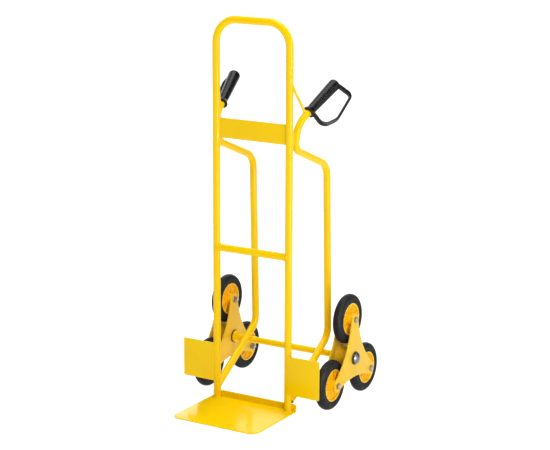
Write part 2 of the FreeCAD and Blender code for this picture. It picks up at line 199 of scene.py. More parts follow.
def plate(outline, holes, thickness, edge):
    """A flat sheet with rounded edges, as a bmesh in (u, v, w). Loops list (u, v) points.

    Its edge attribute is 1 on the rounded edges and 0 on the flat faces.
    """
    def oriented(loop, turn):
        area = sum(a.x * b.y - b.x * a.y for a, b in zip(loop, loop[1:] + loop[:1]))
        return loop if area * turn > 0 else loop[::-1]

    def inset(loop, distance):
        moved = []
        for before, here, after in zip(loop[-1:] + loop[:-1], loop, loop[1:] + loop[:1]):
            coming = (here - before).normalized()
            going = (after - here).normalized()
            inward = Vector((-coming.y - going.y, coming.x + going.x)).normalized()
            slant = max(MITRE_LIMIT, inward.dot(Vector((-going.y, going.x))))
            moved.append(here + inward * (distance / slant))
        return moved

    bm = bmesh.new()
    wear_dust_and_lip_highlight = bm.verts.layers.float.new("edge")
    quarter = [math.radians(a) for a in (0, 22.5, 45, 67.5, 90)]
    rise = [(edge * (1 - math.sin(a)), edge * (1 - math.cos(a))) for a in quarter]
    levels = rise + [(d, thickness - w) for d, w in reversed(rise)]
    bottoms = []
    tops = []
    for turn, loop in [(1, outline)] + [(-1, hole) for hole in holes]:
        loop = oriented([Vector(p) for p in loop], turn)
        rings = [[p.to_3d() + Vector((0, 0, w)) for p in inset(loop, d)] for d, w in levels]
        rows = skin(bm, rings, capped=False)
        for row, (d, w) in zip(rows, levels):
            for vert in row:
                vert[wear_dust_and_lip_highlight] = 1 - d / edge
        bottoms.append(rows[0])
        tops.append(rows[-1])
    for loops in (bottoms, tops):
        verts = [vert for loop in loops for vert in loop]
        for triangle in tessellate_polygon([[vert.co for vert in loop] for loop in loops]):
            corners = [verts[i] for i in triangle]
            if len(set(corners)) == 3:
                bm.faces.new(corners)
    return bm


def place(bm, origin, u, v):
    """Lays a flat plate's u and v along two directions from an origin in the trolley's frame."""
    w = Vector(u).cross(Vector(v))
    turn = Matrix((u, v, w)).transposed().to_4x4()
    bmesh.ops.transform(bm, matrix=Matrix.Translation(origin) @ turn, verts=bm.verts)


# ---- materials -------------------------------------------------------------------------------------
# Grains and depths are lengths. The edge attribute marks free edges, raised pads, treads and lips.

WARM_SHEEN = (1.0, 0.85, 0.30)
WORN_PAINT = (0.55, 0.36, 0.10)
DUST = (0.045, 0.042, 0.038)


class Surface:
    """A Principled material on object coordinates in metres, with short ways to add nodes."""

    def __init__(self, name, colour, roughness, metallic=0.0, specular=0.5, sheen_tint=(1, 1, 1)):
        self.material = bpy.data.materials.new(name)
        self.material.use_nodes = True
        self.tree = self.material.node_tree
        self.shader = self.tree.nodes["Principled BSDF"]
        self.shader.inputs["Metallic"].default_value = metallic
        self.shader.inputs["Specular IOR Level"].default_value = specular
        self.shader.inputs["Specular Tint"].default_value = (*sheen_tint, 1)
        self.shader.inputs["Roughness"].default_value = roughness
        self.shader.inputs["Base Color"].default_value = (*colour, 1)
        self.place = self.add("ShaderNodeTexCoord").outputs["Object"]
        self.colour = None
        self.base = colour
        self.height = None

    def add(self, kind, **settings):
        node = self.tree.nodes.new(kind)
        for key, value in settings.items():
            setattr(node, key, value)
        return node

    def link(self, source, target):
        self.tree.links.new(source, target)

    def stretched(self, scale):
        mapping = self.add("ShaderNodeMapping")
        mapping.inputs["Scale"].default_value = scale
        self.link(self.place, mapping.inputs["Vector"])
        return mapping.outputs["Vector"]

    def noise(self, grain, detail=2.0, roughness=0.5, stretch=None):
        """Noise whose features are about grain metres wide."""
        node = self.add("ShaderNodeTexNoise")
        node.inputs["Scale"].default_value = 1 / grain
        node.inputs["Detail"].default_value = detail
        node.inputs["Roughness"].default_value = roughness
        self.link(self.stretched(stretch) if stretch else self.place, node.inputs["Vector"])
        return node.outputs["Fac"]

    def cells(self, grain):
        """Small cells with raised borders, about grain metres wide."""
        node = self.add("ShaderNodeTexVoronoi")
        node.inputs["Scale"].default_value = 1 / grain
        self.link(self.place, node.inputs["Vector"])
        return node.outputs["Distance"]

    def ramp(self, source, low, high, start=0.0, end=1.0):
        """Takes a value from the range low..high to start..end."""
        node = self.add("ShaderNodeMapRange", interpolation_type="SMOOTHSTEP")
        for socket, value in zip(("From Min", "From Max", "To Min", "To Max"), (low, high, start, end)):
            node.inputs[socket].default_value = value
        self.link(source, node.inputs["Value"])
        return node.outputs["Result"]

    def times(self, first, second):
        node = self.add("ShaderNodeMath", operation="MULTIPLY")
        self.link(first, node.inputs[0])
        if isinstance(second, float):
            node.inputs[1].default_value = second
        else:
            self.link(second, node.inputs[1])
        return node.outputs[0]

    def attribute(self, name):
        return self.add("ShaderNodeAttribute", attribute_name=name).outputs["Fac"]

    def tint(self, mask, colour):
        """Blends the base colour towards another one where the mask is 1."""
        node = self.add("ShaderNodeMix", data_type="RGBA")
        factor, first, second = (node.inputs[i] for i in (0, 6, 7))
        if self.colour is None:
            first.default_value = (*self.base, 1)
        else:
            self.link(self.colour, first)
        second.default_value = (*colour, 1)
        self.link(mask, factor)
        self.colour = node.outputs[2]
        self.link(self.colour, self.shader.inputs["Base Color"])

    def rough(self, source, low, high, start, end):
        """Roughness from start to end as the source goes from low to high."""
        self.link(self.ramp(source, low, high, start, end), self.shader.inputs["Roughness"])

    def bump(self, source, depth, strength):
        """Adds relief of a depth in metres."""
        node = self.add("ShaderNodeBump")
        node.inputs["Distance"].default_value = depth
        node.inputs["Strength"].default_value = strength
        self.link(source, node.inputs["Height"])
        if self.height is not None:
            self.link(self.height, node.inputs["Normal"])
        self.height = node.outputs["Normal"]
        self.link(self.height, self.shader.inputs["Normal"])


def powder_coat(name, colour, deep, roughness, specular, chips, sheen_tint=(1, 1, 1)):
    """Sprayed and baked paint: orange peel, slow changes of tone, and worn spots along free edges."""
    paint = Surface(name, colour, roughness, specular=specular, sheen_tint=sheen_tint)
    paint.tint(paint.ramp(paint.noise(160 * MM), 0.3, 0.8), deep)
    rub = paint.ramp(paint.noise(6 * MM, 4.0, 0.7), 0.66 - chips, 0.74 - chips)
    paint.tint(paint.times(paint.ramp(paint.attribute("edge"), 0.55, 1.0), rub), WORN_PAINT)
    paint.rough(paint.noise(50 * MM), 0.3, 0.7, roughness - 0.03, roughness + 0.04)
    paint.bump(paint.noise(2.5 * MM, 1.0), 0.08 * MM, 0.4)
    paint.bump(paint.noise(0.8 * MM, 1.0), 0.03 * MM, 0.3)
    return paint.material


def zinc_plate():
    """Dull bright zinc, clouded, with paler spangles."""
    plating = Surface("zinc", (0.40, 0.36, 0.33), 0.28, metallic=1.0)
    plating.tint(plating.ramp(plating.noise(5 * MM, 3.0), 0.4, 0.7), (0.28, 0.25, 0.23))
    plating.tint(plating.ramp(plating.noise(1.5 * MM, 3.0), 0.6, 0.8, 0.0, 0.6), (0.52, 0.47, 0.42))
    plating.rough(plating.noise(2 * MM, 3.0), 0.3, 0.7, 0.22, 0.42)
    plating.bump(plating.noise(0.8 * MM, 3.0), 0.04 * MM, 0.5)
    return plating.material


def sleeve_steel():
    """Drawn steel, its marks stretched ten times along the sleeve."""
    drawn = (0.1, 1, 1)
    steel = Surface("sleeve_steel", (0.46, 0.46, 0.47), 0.35, metallic=1.0)
    steel.tint(steel.ramp(steel.noise(4 * MM, 3.0), 0.4, 0.7), (0.36, 0.36, 0.37))
    steel.rough(steel.noise(1.2 * MM, stretch=drawn), 0.3, 0.7, 0.28, 0.45)
    steel.bump(steel.noise(0.6 * MM, stretch=drawn), 0.03 * MM, 0.5)
    return steel.material


def cap_chrome():
    """Dark satin chrome on a pressed cap."""
    chrome = Surface("cap_chrome", (0.20, 0.21, 0.22), 0.30, metallic=1.0)
    chrome.tint(chrome.ramp(chrome.noise(6 * MM), 0.45, 0.8), (0.13, 0.14, 0.15))
    chrome.rough(chrome.noise(2 * MM, 4.0), 0.35, 0.75, 0.26, 0.38)
    chrome.bump(chrome.noise(1.2 * MM, 3.0), 0.03 * MM, 0.35)
    return chrome.material


def bush_nylon():
    """Black moulded nylon with a dry, fine grain."""
    nylon = Surface("bush_nylon", (0.022, 0.022, 0.024), 0.5)
    nylon.tint(nylon.ramp(nylon.noise(4 * MM, 3.0), 0.45, 0.75), (0.034, 0.034, 0.036))
    nylon.rough(nylon.noise(3 * MM), 0.3, 0.7, 0.42, 0.58)
    nylon.bump(nylon.noise(0.7 * MM), 0.04 * MM, 0.4)
    return nylon.material


def grip_plastic():
    """Black plastic with a fine leather grain, a little greyer on the raised pads."""
    plastic = Surface("grip_plastic", (0.003, 0.003, 0.004), 0.30, specular=0.20)
    plastic.tint(plastic.ramp(plastic.noise(20 * MM, 3.0), 0.45, 0.75), (0.006, 0.006, 0.007))
    plastic.tint(plastic.ramp(plastic.attribute("edge"), 0.3, 1.0, 0.0, 0.8), (0.009, 0.009, 0.010))
    plastic.rough(plastic.noise(6 * MM, 3.0), 0.3, 0.7, 0.24, 0.36)
    plastic.bump(plastic.cells(1.1 * MM), 0.08 * MM, 0.6)
    plastic.bump(plastic.noise(0.5 * MM), 0.04 * MM, 0.4)
    return plastic.material


def tyre_rubber():
    """Solid rubber, a little dusty on the tread, with the fine grain of its mould."""
    rubber = Surface("tyre_rubber", (0.005, 0.005, 0.006), 0.55, specular=0.17)
    rubber.tint(rubber.ramp(rubber.noise(25 * MM, 4.0, 0.6), 0.45, 0.75), (0.011, 0.011, 0.011))
    dust = rubber.times(rubber.ramp(rubber.noise(7 * MM, 5.0, 0.65), 0.48, 0.72), 0.55)
    rubber.tint(rubber.times(rubber.attribute("edge"), dust), DUST)
    rubber.rough(rubber.noise(10 * MM, 3.0), 0.3, 0.7, 0.52, 0.70)
    rubber.bump(rubber.noise(1.6 * MM, 3.0), 0.12 * MM, 0.5)
    rubber.bump(rubber.noise(0.4 * MM), 0.04 * MM, 0.5)
    return rubber.material


def rim_plastic():
    """Moulded orange-yellow plastic. Its raised lip is painted paler than the dish, as a painted
    highlight.
    """
    plastic = Surface("rim_plastic", (0.90, 0.49, 0.004), 0.30, specular=0.3, sheen_tint=WARM_SHEEN)
    plastic.tint(plastic.ramp(plastic.noise(12 * MM, 3.0), 0.5, 0.8, 0.0, 0.6), (0.76, 0.37, 0.002))
    # painted highlight: the raised lip, where the edge attribute is 1, is painted a paler yellow than the
    # dish
    plastic.tint(plastic.ramp(plastic.attribute("edge"), 0.4, 0.9), (0.90, 0.64, 0.05))
    plastic.rough(plastic.noise(4 * MM, 3.0), 0.3, 0.7, 0.30, 0.44)
    plastic.bump(plastic.noise(1.1 * MM), 0.06 * MM, 0.5)
    return plastic.material


YELLOW = powder_coat("yellow_paint", (0.86, 0.56, 0.001), (0.84, 0.53, 0.001),
                     roughness=0.14, specular=0.12, chips=0.0)
AMBER = powder_coat("star_paint", (0.80, 0.50, 0.020), (0.76, 0.465, 0.014),
                    roughness=0.34, specular=0.30, chips=0.04, sheen_tint=WARM_SHEEN)
ZINC = zinc_plate()
STEEL = sleeve_steel()
CHROME = cap_chrome()
NYLON = bush_nylon()
GRIP = grip_plastic()
RUBBER = tyre_rubber()
RIM = rim_plastic()
SLOTS = {
    "yellow_paint": YELLOW, "star_paint": AMBER, "zinc": ZINC, "sleeve_steel": STEEL,
    "cap_chrome": CHROME, "bush_plastic": NYLON, "grip_plastic": GRIP, "tyre_rubber": RUBBER,
    "rim_plastic": RIM,
}


def paint_cad_nodes():
    """Every CAD node takes its record slot's material. Some are replaced further down."""
    for part in frame["record"]["subparts"]:
        node = frame["nodes"][part["node"]]
        node.data.materials.clear()
        node.data.materials.append(SLOTS[part["material_slot"]])


paint_cad_nodes()


# ---- sheet metal -----------------------------------------------------------------------------------

SHEET_EDGE = 0.5 * MM
STAR_EDGE = 0.7 * MM
STAR_TIP_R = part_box("star_plate_outer_right")[1].z - WHEEL_AT["top"].z
STAR_WAIST_R = 58 * MM
STAR_ARMS = (90, 210, 330)
STAR_HOLLOW = 60        # degrees from an arm to the hollow beside it
HUB_BUSH_R = 15 * MM
BOLT_HOLE_R = 5.2 * MM
BARREL_R = size("star_barrel_right").z / 2
GUARD_CORNER_R = 4 * MM
TOE_T = 4 * MM
TOE_EDGE = 0.8 * MM
TOE_FOLD_R = 7 * MM
TOE_FOLD_STEPS = 12
TOE_CORNER_R = 26 * MM
FLANGE_CORNER_R = 6 * MM


def star_outline():
    """Three round tips joined by three long hollow arcs, about the axle, in (y, z)."""
    spread = STAR_WAIST_R ** 2 + ARM_R ** 2 - STAR_WAIST_R * ARM_R - STAR_TIP_R ** 2
    hollow_r = spread / (2 * STAR_TIP_R - 2 * STAR_WAIST_R + ARM_R)
    hollow_out = STAR_WAIST_R + hollow_r
    from_tip = polar(hollow_out, STAR_HOLLOW) - Vector((ARM_R, 0))
    lean = math.degrees(math.atan2(from_tip.y, from_tip.x))
    outline = []
    for arm in STAR_ARMS:
        tip = polar(ARM_R, arm)
        hollow = polar(hollow_out, arm + STAR_HOLLOW)
        facing = arm + 180
        outline += arc(tip, STAR_TIP_R, arm - lean, arm + lean, 20)[:-1]
        outline += arc(hollow, hollow_r, facing + lean, facing + 2 * STAR_HOLLOW - lean, 28)[:-1]
    return outline


def star_plates(side):
    holes = [circle((0, 0), HUB_BUSH_R, 64)]
    holes += [circle(polar(ARM_R, arm), BOLT_HOLE_R, 32) for arm in STAR_ARMS]
    for layer in ("inner", "outer"):
        node = f"star_plate_{layer}_{side}"
        bm = plate(star_outline(), holes, size(node).x, STAR_EDGE)
        place(bm, (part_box(node)[0].x, AXLE_Y, AXLE_Z), Y, Z)
        mesh = finish_mesh(bm, node)
        piece(f"star_sheet_{layer}_{side}", mesh, f"star_{side}", AMBER, [node])


def upright_sheet(name, node, corner_radii):
    """A flat painted sheet that stands across the trolley, from its CAD node's box."""
    low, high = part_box(node)
    corners = [(low.x, low.z), (high.x, low.z), (high.x, high.z), (low.x, high.z)]
    bm = plate(rounded(corners, corner_radii), [], high.y - low.y, SHEET_EDGE)
    place(bm, (0, high.y, 0), X, Z)
    piece(name, finish_mesh(bm, name), "frame", YELLOW, [node])


def side_guard(side):
    """A guard sheet in front of a star, square where it meets the upright and rounded outboard."""
    radii = [0, GUARD_CORNER_R, GUARD_CORNER_R, 0]
    if side == "left":
        radii = [GUARD_CORNER_R, 0, 0, GUARD_CORNER_R]
    upright_sheet(f"guard_sheet_{side}", f"side_guard_{side}", radii)


def toe_plate():
    """Load plate and rear flange: cut flat, then folded up round the bend."""
    low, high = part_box("toe_plate")
    fold_y = high.y - TOE_FOLD_R
    flat = fold_y - low.y
    fold = TOE_FOLD_R * math.pi / 2
    top = flat + fold + high.z - TOE_FOLD_R
    corners = [(low.x, 0), (high.x, 0), (high.x, top), (low.x, top)]
    outline = rounded(corners, [TOE_CORNER_R, TOE_CORNER_R, FLANGE_CORNER_R, FLANGE_CORNER_R])
    bm = plate(outline, [], TOE_T, TOE_EDGE)
    for k in range(TOE_FOLD_STEPS + 1):
        crease = Y * (flat + fold * k / TOE_FOLD_STEPS)
        everything = bm.verts[:] + bm.edges[:] + bm.faces[:]
        bmesh.ops.bisect_plane(bm, geom=everything, plane_co=crease, plane_no=Y)
    for vert in bm.verts:
        x, along, w = vert.co
        if along <= flat:
            vert.co = (x, low.y + along, w)
        elif along <= flat + fold:
            turn = (along - flat) / TOE_FOLD_R
            radius = TOE_FOLD_R - w
            vert.co = (x, fold_y + radius * math.sin(turn), TOE_FOLD_R - radius * math.cos(turn))
        else:
            vert.co = (x, high.y - w, TOE_FOLD_R + along - flat - fold)
    mesh = finish_mesh(bm, "toe_plate_sheet")
    piece("toe_plate_sheet", mesh, "frame", YELLOW, ["toe_plate"])


# ---- wheels ----------------------------------------------------------------------------------------

RIM_R = 49 * MM
RIM_LIP = 4 * MM
RIM_HALF_W = 13 * MM
RIM_DISH = 5 * MM
RIM_HUB_R = 17 * MM
RIM_HUB_HALF_L = size("rim_right_top").x / 2
RIM_BORE_R = 9 * MM
RIM_BENDS = [0, 1.2 * MM, 2.5 * MM, 3.2 * MM, 1.0 * MM, 1.2 * MM, 0]
RIM_RIBS = 10
RIM_RIB_RISE = 4 * MM
RIM_RIB_HALF_T = 1.1 * MM
RIM_RIB_FOOT = 2.3 * MM
RIM_RIB_COLUMNS = [-3.4, -2.3, -1.9, -1.5, -1.1, 0, 1.1, 1.5, 1.9, 2.3, 3.4]    # mm across a rib
RIM_PANEL_COLUMNS = (0.25, 0.5, 0.75)        # shares of the way from one rib to the next
TYRE_CROWN_R = 13 * MM
TYRE_LINE = ((0.15, 4.3), (0.6, 4.8), (0.6, 5.4), (0.15, 5.9), (0, 6.2))    # mm deep, mm above the rim
TYRE_SEGMENTS = 144


def subdivided(path, spacing):
    """The same line with no step longer than the spacing."""
    dense = [path[0]]
    for start, end in zip(path, path[1:]):
        steps = max(1, math.ceil((end - start).length / spacing))
        dense += [start.lerp(end, k / steps) for k in range(1, steps + 1)]
    return dense


def smoothstep(low, high, value):
    share = min(1, max(0, (value - low) / (high - low)))
    return share * share * (3 - 2 * share)


def rim_columns():
    """The rim's columns: (rib, offset, 0) across a rib, and (rib, None, share) on the way to the next."""
    columns = []
    for rib in range(RIM_RIBS):
        columns += [(rib, offset * MM, 0) for offset in RIM_RIB_COLUMNS]
        columns += [(rib, None, share) for share in RIM_PANEL_COLUMNS]
    return columns


def rim_ring(along, radius, face_side, columns):
    """One ring of the rim's points, lifted to the ribs' height where it crosses them."""
    pitch = 2 * math.pi / RIM_RIBS
    round_r = max(radius, RIM_HUB_R)
    edge = math.asin(RIM_RIB_COLUMNS[-1] * MM / round_r)
    ribbed = RIM_HUB_R - 3 * MM < radius < RIM_R - RIM_LIP + 1 * MM
    points = []
    for rib, offset, share in columns:
        middle = pitch * (rib + 0.5)
        rise = 0
        if offset is None:
            angle = middle + edge + share * (pitch - 2 * edge)
        else:
            angle = middle + math.asin(offset / round_r)
            rise = 1 - smoothstep(RIM_RIB_HALF_T, RIM_RIB_FOOT, abs(offset))
        face = max(along, RIM_DISH + RIM_RIB_RISE * rise) if ribbed else along
        points.append(Vector((face_side * face, radius * math.cos(angle), radius * math.sin(angle))))
    return points


def rim_mesh():
    """A dished rim about the X axis, alike on both faces: hub, web with low ribs, and a raised lip."""
    corners = [(RIM_HUB_HALF_L, RIM_BORE_R), (RIM_HUB_HALF_L, RIM_HUB_R - 2 * MM), (RIM_DISH, RIM_HUB_R),
               (RIM_DISH, RIM_R - RIM_LIP - 2 * MM), (RIM_HALF_W, RIM_R - RIM_LIP), (RIM_HALF_W, RIM_R),
               (0, RIM_R)]
    half = subdivided(rounded(corners, RIM_BENDS), 1.3 * MM)
    columns = rim_columns()
    rings = [rim_ring(along, radius, 1, columns) for along, radius in half]
    rings += [rim_ring(along, radius, -1, columns) for along, radius in half[-2::-1]]
    bm = bmesh.new()
    wear_dust_and_lip_highlight = bm.verts.layers.float.new("edge")
    # the edge attribute is 1 on the raised lip, which the rim material paints paler as a painted
    # highlight
    for row in skin(bm, rings, closed=True):
        for vert in row:
            off_hub = math.hypot(vert.co.y, vert.co.z) > RIM_HUB_R + 5 * MM
            vert[wear_dust_and_lip_highlight] = smoothstep(RIM_DISH + 4 * MM, RIM_HALF_W, abs(vert.co.x)) * off_hub
    return finish_mesh(bm, "rim", 50)


def tyre_mesh():
    """Solid tyre about the X axis: a line round each side wall and a mould seam round the tread."""
    shoulder = (TYRE_HALF_W - TYRE_CROWN_R, WHEEL_R - TYRE_CROWN_R - 0.2 * MM)
    bead = [(TYRE_HALF_W - 1 * MM, RIM_R - 1 * MM), (TYRE_HALF_W - 0.5 * MM, RIM_R + 0.1 * MM),
            (TYRE_HALF_W, RIM_R + 0.8 * MM), (TYRE_HALF_W, RIM_R + 4 * MM)]
    line = [(TYRE_HALF_W - depth * MM, RIM_R + reach * MM) for depth, reach in TYRE_LINE]
    seam = [(0.5 * MM, WHEEL_R - 0.2 * MM), (0.3 * MM, WHEEL_R - 0.03 * MM), (0, WHEEL_R)]
    half = bead + line + arc(shoulder, TYRE_CROWN_R, 0, 90, 22) + seam
    profile = half + [(-along, radius) for along, radius in half[-2::-1]]
    bm = bmesh.new()
    wear_dust_and_lip_highlight = bm.verts.layers.float.new("edge")
    for row in turned(bm, profile, TYRE_SEGMENTS, closed=True):
        for vert in row:
            vert[wear_dust_and_lip_highlight] = smoothstep(WHEEL_R - 9 * MM, WHEEL_R, math.hypot(vert.co.y, vert.co.z))
    return finish_mesh(bm, "tyre", 50)


def wheels():
    moulded = (("rim", rim_mesh(), "rim_plastic", RIM), ("tyre", tyre_mesh(), "tyre_rubber", RUBBER))
    for side in SIDES:
        for place_name in PLACES:
            for kind, mesh, slot, material in moulded:
                node = f"{kind}_{side}_{place_name}"
                fitted = mesh.copy()
                fitted.transform(Matrix.Translation(centre(node)))
                piece(f"moulded_{node}", fitted, f"wheel_{side}_{place_name}", material, [node])


# ---- fasteners and hub parts -------------------------------------------------------------------------

BOLT_R = 5 * MM
BOLT_SEGMENTS = 72
THREAD_L = 16 * MM
THREAD_PITCH = 1.5 * MM
THREAD_DEPTH = 0.5 * MM
THREAD_CHAMFER = 0.9 * MM
THREAD_RINGS = 6            # rings of points in one pitch
HEX_FLATS = 16 * MM
HEX_FACE = 0.94             # round bearing face of a head or nut, as a share of its width across flats
HEX_CHAMFER = math.radians(30)
WASHER_BENDS = [0.2 * MM, 0.4 * MM, 0.4 * MM, 0.2 * MM]
BUSH_FLANGE_T = 3 * MM
BUSH_CLEARANCE = 0.05 * MM
BUSH_BENDS = [0.4 * MM, 0.9 * MM, 0.2 * MM, 0, 0.3 * MM, 0.3 * MM]
COLLAR_BENDS = [0, 0.8 * MM, 0.8 * MM, 0]
CAP_DOME = 7 * MM           # rise of the hub cap's face
CAP_BENDS = [0, 0.3 * MM, 0.9 * MM]
CAP_SHOULDER = 0.88         # where the dome starts, as a share of the turn from its middle to its edge
HUB_SEGMENTS = 96


def hex_reach(angle):
    """From a hexagon's middle to its edge, with corners on multiples of 60 degrees."""
    return HEX_FLATS / 2 / math.cos(angle % (math.pi / 3) - math.pi / 6)


def hex_rings(face, inward, at):
    """The chamfered end of a hexagon: the round face, then the hexagon's edge set back from it."""
    face_r = HEX_FLATS / 2 * HEX_FACE
    edge_ring = []
    for angle in full_turn(BOLT_SEGMENTS):
        reach = hex_reach(angle)
        back = (reach - face_r) * math.tan(HEX_CHAMFER)
        out = Vector((0, math.cos(angle), math.sin(angle)))
        edge_ring.append(at + X * (face + inward * back) + out * reach)
    return hoop(face, face_r, BOLT_SEGMENTS, at), edge_ring


def threaded_rings(start, end, at):
    """Rings of a bolt's thread from start to end along X, its last turn fading into a chamfer."""
    rings = []
    steps = math.ceil(abs(end - start) / (THREAD_PITCH / THREAD_RINGS))
    for i in range(steps + 1):
        along = start + (end - start) * i / steps
        chamfered = BOLT_R - THREAD_CHAMFER + abs(end - along)
        ring = []
        for angle in full_turn(BOLT_SEGMENTS):
            wave = 0.5 + 0.5 * math.cos(2 * math.pi * along / THREAD_PITCH - angle)
            radius = min(BOLT_R - THREAD_DEPTH * wave, chamfered)
            ring.append(at + Vector((along, radius * math.cos(angle), radius * math.sin(angle))))
        rings.append(ring)
    return rings


def add_bolt(bm, side, at):
    """A bolt with its head on the star's outboard plate and its thread at the inboard end."""
    low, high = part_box(f"wheel_bolts_{side}")
    plate_low, plate_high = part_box(f"star_plate_outer_{side}")
    sign = SIDES[side]
    head, tail, seat = high.x, low.x, plate_high.x
    if sign < 0:
        head, tail, seat = low.x, high.x, plate_low.x
    face, edge = hex_rings(head, -sign, at)
    foot = [point - X * (point.x - seat) for point in edge]
    thread_start = tail + sign * THREAD_L
    shank = [hoop(along, BOLT_R, BOLT_SEGMENTS, at) for along in (seat, thread_start)]
    skin(bm, [face, edge, foot] + shank + threaded_rings(thread_start, tail, at))


def add_nut(bm, side, at):
    low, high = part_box(f"wheel_nuts_{side}")
    near, near_edge = hex_rings(low.x, 1, at)
    far, far_edge = hex_rings(high.x, -1, at)
    bore = [hoop(along, BOLT_R, BOLT_SEGMENTS, at) for along in (high.x, low.x)]
    skin(bm, [near, near_edge, far_edge, far] + bore, closed=True)


def add_washer(bm, side, at):
    low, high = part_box(f"nut_washers_{side}")
    # the box of a star's three washers is 1.5 arms and one washer high
    washer_r = (high.z - low.z) / 2 - ARM_R * 0.75
    outline = [(low.x, BOLT_HOLE_R), (low.x, washer_r), (high.x, washer_r), (high.x, BOLT_HOLE_R)]
    turned(bm, rounded(outline, WASHER_BENDS), 64, at, closed=True)


def fasteners(side):
    """Three bolts through a star, with their nuts and washers on its inboard face."""
    kinds = (("wheel_bolts", add_bolt), ("wheel_nuts", add_nut), ("nut_washers", add_washer))
    for name, add_one in kinds:
        node = f"{name}_{side}"
        bm = bmesh.new()
        for wheel in PLACES:
            add_one(bm, side, Vector((0, WHEEL_AT[wheel].y, WHEEL_AT[wheel].z)))
        piece(f"zinc_{node}", finish_mesh(bm, node, 30), f"star_{side}", ZINC, [node])


def turned_part(name, node, outline, radii, body, material, closed=True):
    """A lathe piece about the axle. The outline gives (distance from its outboard end, radius)."""
    low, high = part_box(node)
    outboard = high.x if high.x > 0 else low.x
    inward = -1 if high.x > 0 else 1
    profile = [(outboard + inward * p.x, p.y) for p in rounded(outline, radii)]
    bm = bmesh.new()
    turned(bm, profile, HUB_SEGMENTS, (0, AXLE_Y, AXLE_Z), closed=closed)
    piece(name, finish_mesh(bm, node, 40), body, material, [node])


def hub_bushes(side):
    """Flanged bushes in a star's two plates, each with its flange on the plate's outer face."""
    for layer in ("inner", "outer"):
        node = f"hub_bush_{layer}_{side}"
        length = size(node).x
        flange_r = size(node).z / 2
        bore = AXLE_R + BUSH_CLEARANCE
        outline = [(0, bore), (0, flange_r), (BUSH_FLANGE_T, flange_r), (BUSH_FLANGE_T, HUB_BUSH_R),
                   (length, HUB_BUSH_R), (length, bore)]
        if layer == "inner":
            outline = [(length - along, radius) for along, radius in outline]
        turned_part(f"nylon_{node}", node, outline, BUSH_BENDS, f"star_{side}", NYLON)


def axle_collar(side):
    node = f"axle_collar_{side}"
    length = size(node).x
    collar_r = size(node).z / 2
    outline = [(0, AXLE_R), (0, collar_r), (length, collar_r), (length, AXLE_R)]
    turned_part(f"turned_{node}", node, outline, COLLAR_BENDS, "frame", YELLOW)


def hub_cap(side):
    """A domed cap on the end of the axle."""
    node = f"hub_cap_{side}"
    length = size(node).x
    cap_r = size(node).z / 2
    dome_r = (cap_r ** 2 + CAP_DOME ** 2) / (2 * CAP_DOME)
    spread = math.degrees(math.asin(cap_r / dome_r))
    dome = [Vector((dome_r - p.x, p.y)) for p in arc((0, 0), dome_r, spread * CAP_SHOULDER, 1, 16)]
    outline = [Vector((length, AXLE_R)), Vector((length, cap_r)), Vector((CAP_DOME, cap_r))] + dome
    bends = CAP_BENDS + [0] * len(dome)
    turned_part(f"domed_{node}", node, outline, bends, "frame", CHROME, closed=False)


# ---- welds -----------------------------------------------------------------------------------------

BEAD_R = 2.1 * MM
PANEL_BEAD_R = 1.8 * MM
GUARD_BEAD_R = 1.6 * MM
GUARD_STITCH = 0.3            # half a stitch weld, as a share of the spacing of the stitches
AXLE_BEAD_R = 2.0 * MM
TOUCH_BEAD_R = 2.3 * MM
BRACE_BEAD_R = 1.7 * MM
BARREL_BEAD_R = 2.2 * MM
BEAD_RIPPLE = 2.4 * MM        # length of one ripple
BEAD_SWELL = 0.09             # its height, as a share of the bead's radius
BEAD_SIDES = 10
BEAD_PROUD = 0.3 * MM         # how far a bead's middle stands off the face beside it
CROSSBAR_FIT = 0.985          # the crossbar's bead follows it just inside its skin
FLANGE_BEAD_Z = (5.5 * MM, 23 * MM)
SEAM_HALF_W = 5.2 * MM        # from the middle of a tube that rests on something to its bead
TOUCH_SEAM_HALF_W = 4.6 * MM


def bead_skin(bm, path, radius=BEAD_R):
    """A rippled weld bead along a line of points, its ends drawn in."""
    points = subdivided(path, BEAD_RIPPLE / 4)
    run = 0
    side = None
    rings = []
    for i, point in enumerate(points):
        before = points[max(i - 1, 0)]
        after = points[min(i + 1, len(points) - 1)]
        along = (after - before).normalized()
        if side is None:
            side = along.orthogonal()
        side = (side - along * side.dot(along)).normalized()
        across = along.cross(side)
        run += (point - before).length
        from_end = min(i, len(points) - 1 - i) + 0.5
        ripple = 1 + BEAD_SWELL * math.cos(2 * math.pi * run / BEAD_RIPPLE)
        swell = radius * ripple * min(1, math.sqrt(from_end / 4))
        rings.append([point + (side * math.cos(a) + across * math.sin(a)) * swell
                      for a in full_turn(BEAD_SIDES)])
    skin(bm, rings)


def surface_of(node):
    mesh = frame["nodes"][node].data
    corners = [vert.co.copy() for vert in mesh.vertices]
    return BVHTree.FromPolygons(corners, [face.vertices[:] for face in mesh.polygons])


def meeting_line(start, along, radius, target):
    """The first unbroken line where a round bar, leaving start in a direction, meets a node."""
    along = along.normalized()
    side = along.orthogonal().normalized()
    across = along.cross(side)
    tree = surface_of(target)
    hits = []
    for angle in full_turn(72):
        out = (side * math.cos(angle) + across * math.sin(angle)) * radius
        hits.append(tree.ray_cast(start + out, along)[0])
    if None not in hits:
        return hits + hits[:3]
    first = next(k for k, hit in enumerate(hits) if hit is not None and hits[k - 1] is None)
    line = []
    for hit in hits[first:] + hits[:first]:
        if hit is None:
            break
        line.append(hit)
    return line


